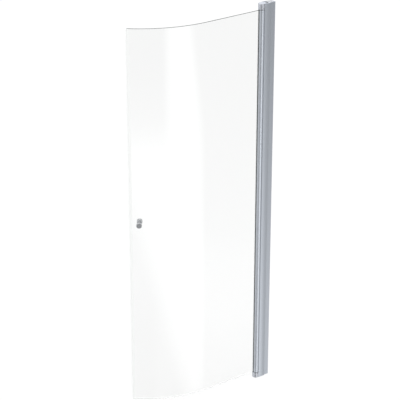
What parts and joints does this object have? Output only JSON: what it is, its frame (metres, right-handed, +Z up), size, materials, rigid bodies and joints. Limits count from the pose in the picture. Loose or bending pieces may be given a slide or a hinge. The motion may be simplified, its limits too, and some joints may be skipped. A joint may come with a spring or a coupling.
{
  "type": "curved hinged shower door",
  "caption": "Curved clear glass shower door leaf that swings both ways in a full-height aluminium hinge post, with a double knob, clear seals and an adjustable wall profile.",
  "frame": {"origin": "on the wall, at the middle of the wall profile's back and level with the foot of the post", "axes": "+Z up along the post, +X into the wall, -X along the closed leaf, -Y to the outside where a person stands before stepping in"},
  "size_m": [0.7241, 0.1563, 1.96],
  "materials": {
    "anodised_aluminium": "satin silver anodised, with fine lines along the extrusion",
    "silver_cap": "satin silver lacquer on a die casting",
    "knob_metal": "satin chrome, turned",
    "stainless_steel": "turned stainless steel",
    "black_steel": "black oxide",
    "clear_glass": "polished toughened glass with a faint green edge",
    "clear_seal": "clear extruded soft plastic",
    "dark_rubber": "matt extruded gasket",
    "grey_plastic": "moulded, fine matt grain",
    "white_bearing": "turned bearing plastic"
  },
  "bodies": {
    "wall_side": {"wall_profile": "anodised_aluminium", "wall_profile_top_plug": "grey_plastic", "wall_profile_bottom_plug": "grey_plastic"},
    "post_side": {"hinge_post": "anodised_aluminium", "post_seal_strip": "dark_rubber", "locking_screws": "stainless_steel", "locking_nuts": "stainless_steel", "locking_screw_covers": "grey_plastic", "top_bearing_cap": "silver_cap", "bottom_bearing_cap": "silver_cap", "top_pivot_pin": "stainless_steel", "bottom_pivot_pin": "stainless_steel", "thrust_washer": "white_bearing", "cap_screws": "stainless_steel", "pin_set_screws": "black_steel"},
    "door_leaf": {"door_barrel": "anodised_aluminium", "top_bush": "white_bearing", "bottom_bush": "white_bearing", "outer_glass_gasket": "dark_rubber", "inner_glass_gasket": "dark_rubber", "glass_panel": "clear_glass", "free_edge_seal": "clear_seal", "bottom_seal": "clear_seal", "outer_knob": "knob_metal", "inner_knob": "knob_metal", "knob_set_screw": "black_steel", "knob_stud": "stainless_steel", "knob_sleeve": "white_bearing", "knob_washers": "clear_seal"}
  },
  "joints": [
    {"name": "post_adjust", "type": "slide", "parent": "wall_side", "child": "post_side", "axis": [1, 0, 0], "range_m": [-0.008, 0.008]},
    {"name": "door_swing", "type": "hinge", "parent": "post_side", "child": "door_leaf", "pos_m": [-0.0675, 0, 0.98], "axis": [0, 0, 1], "range_deg": [-75, 90]}
  ]
}
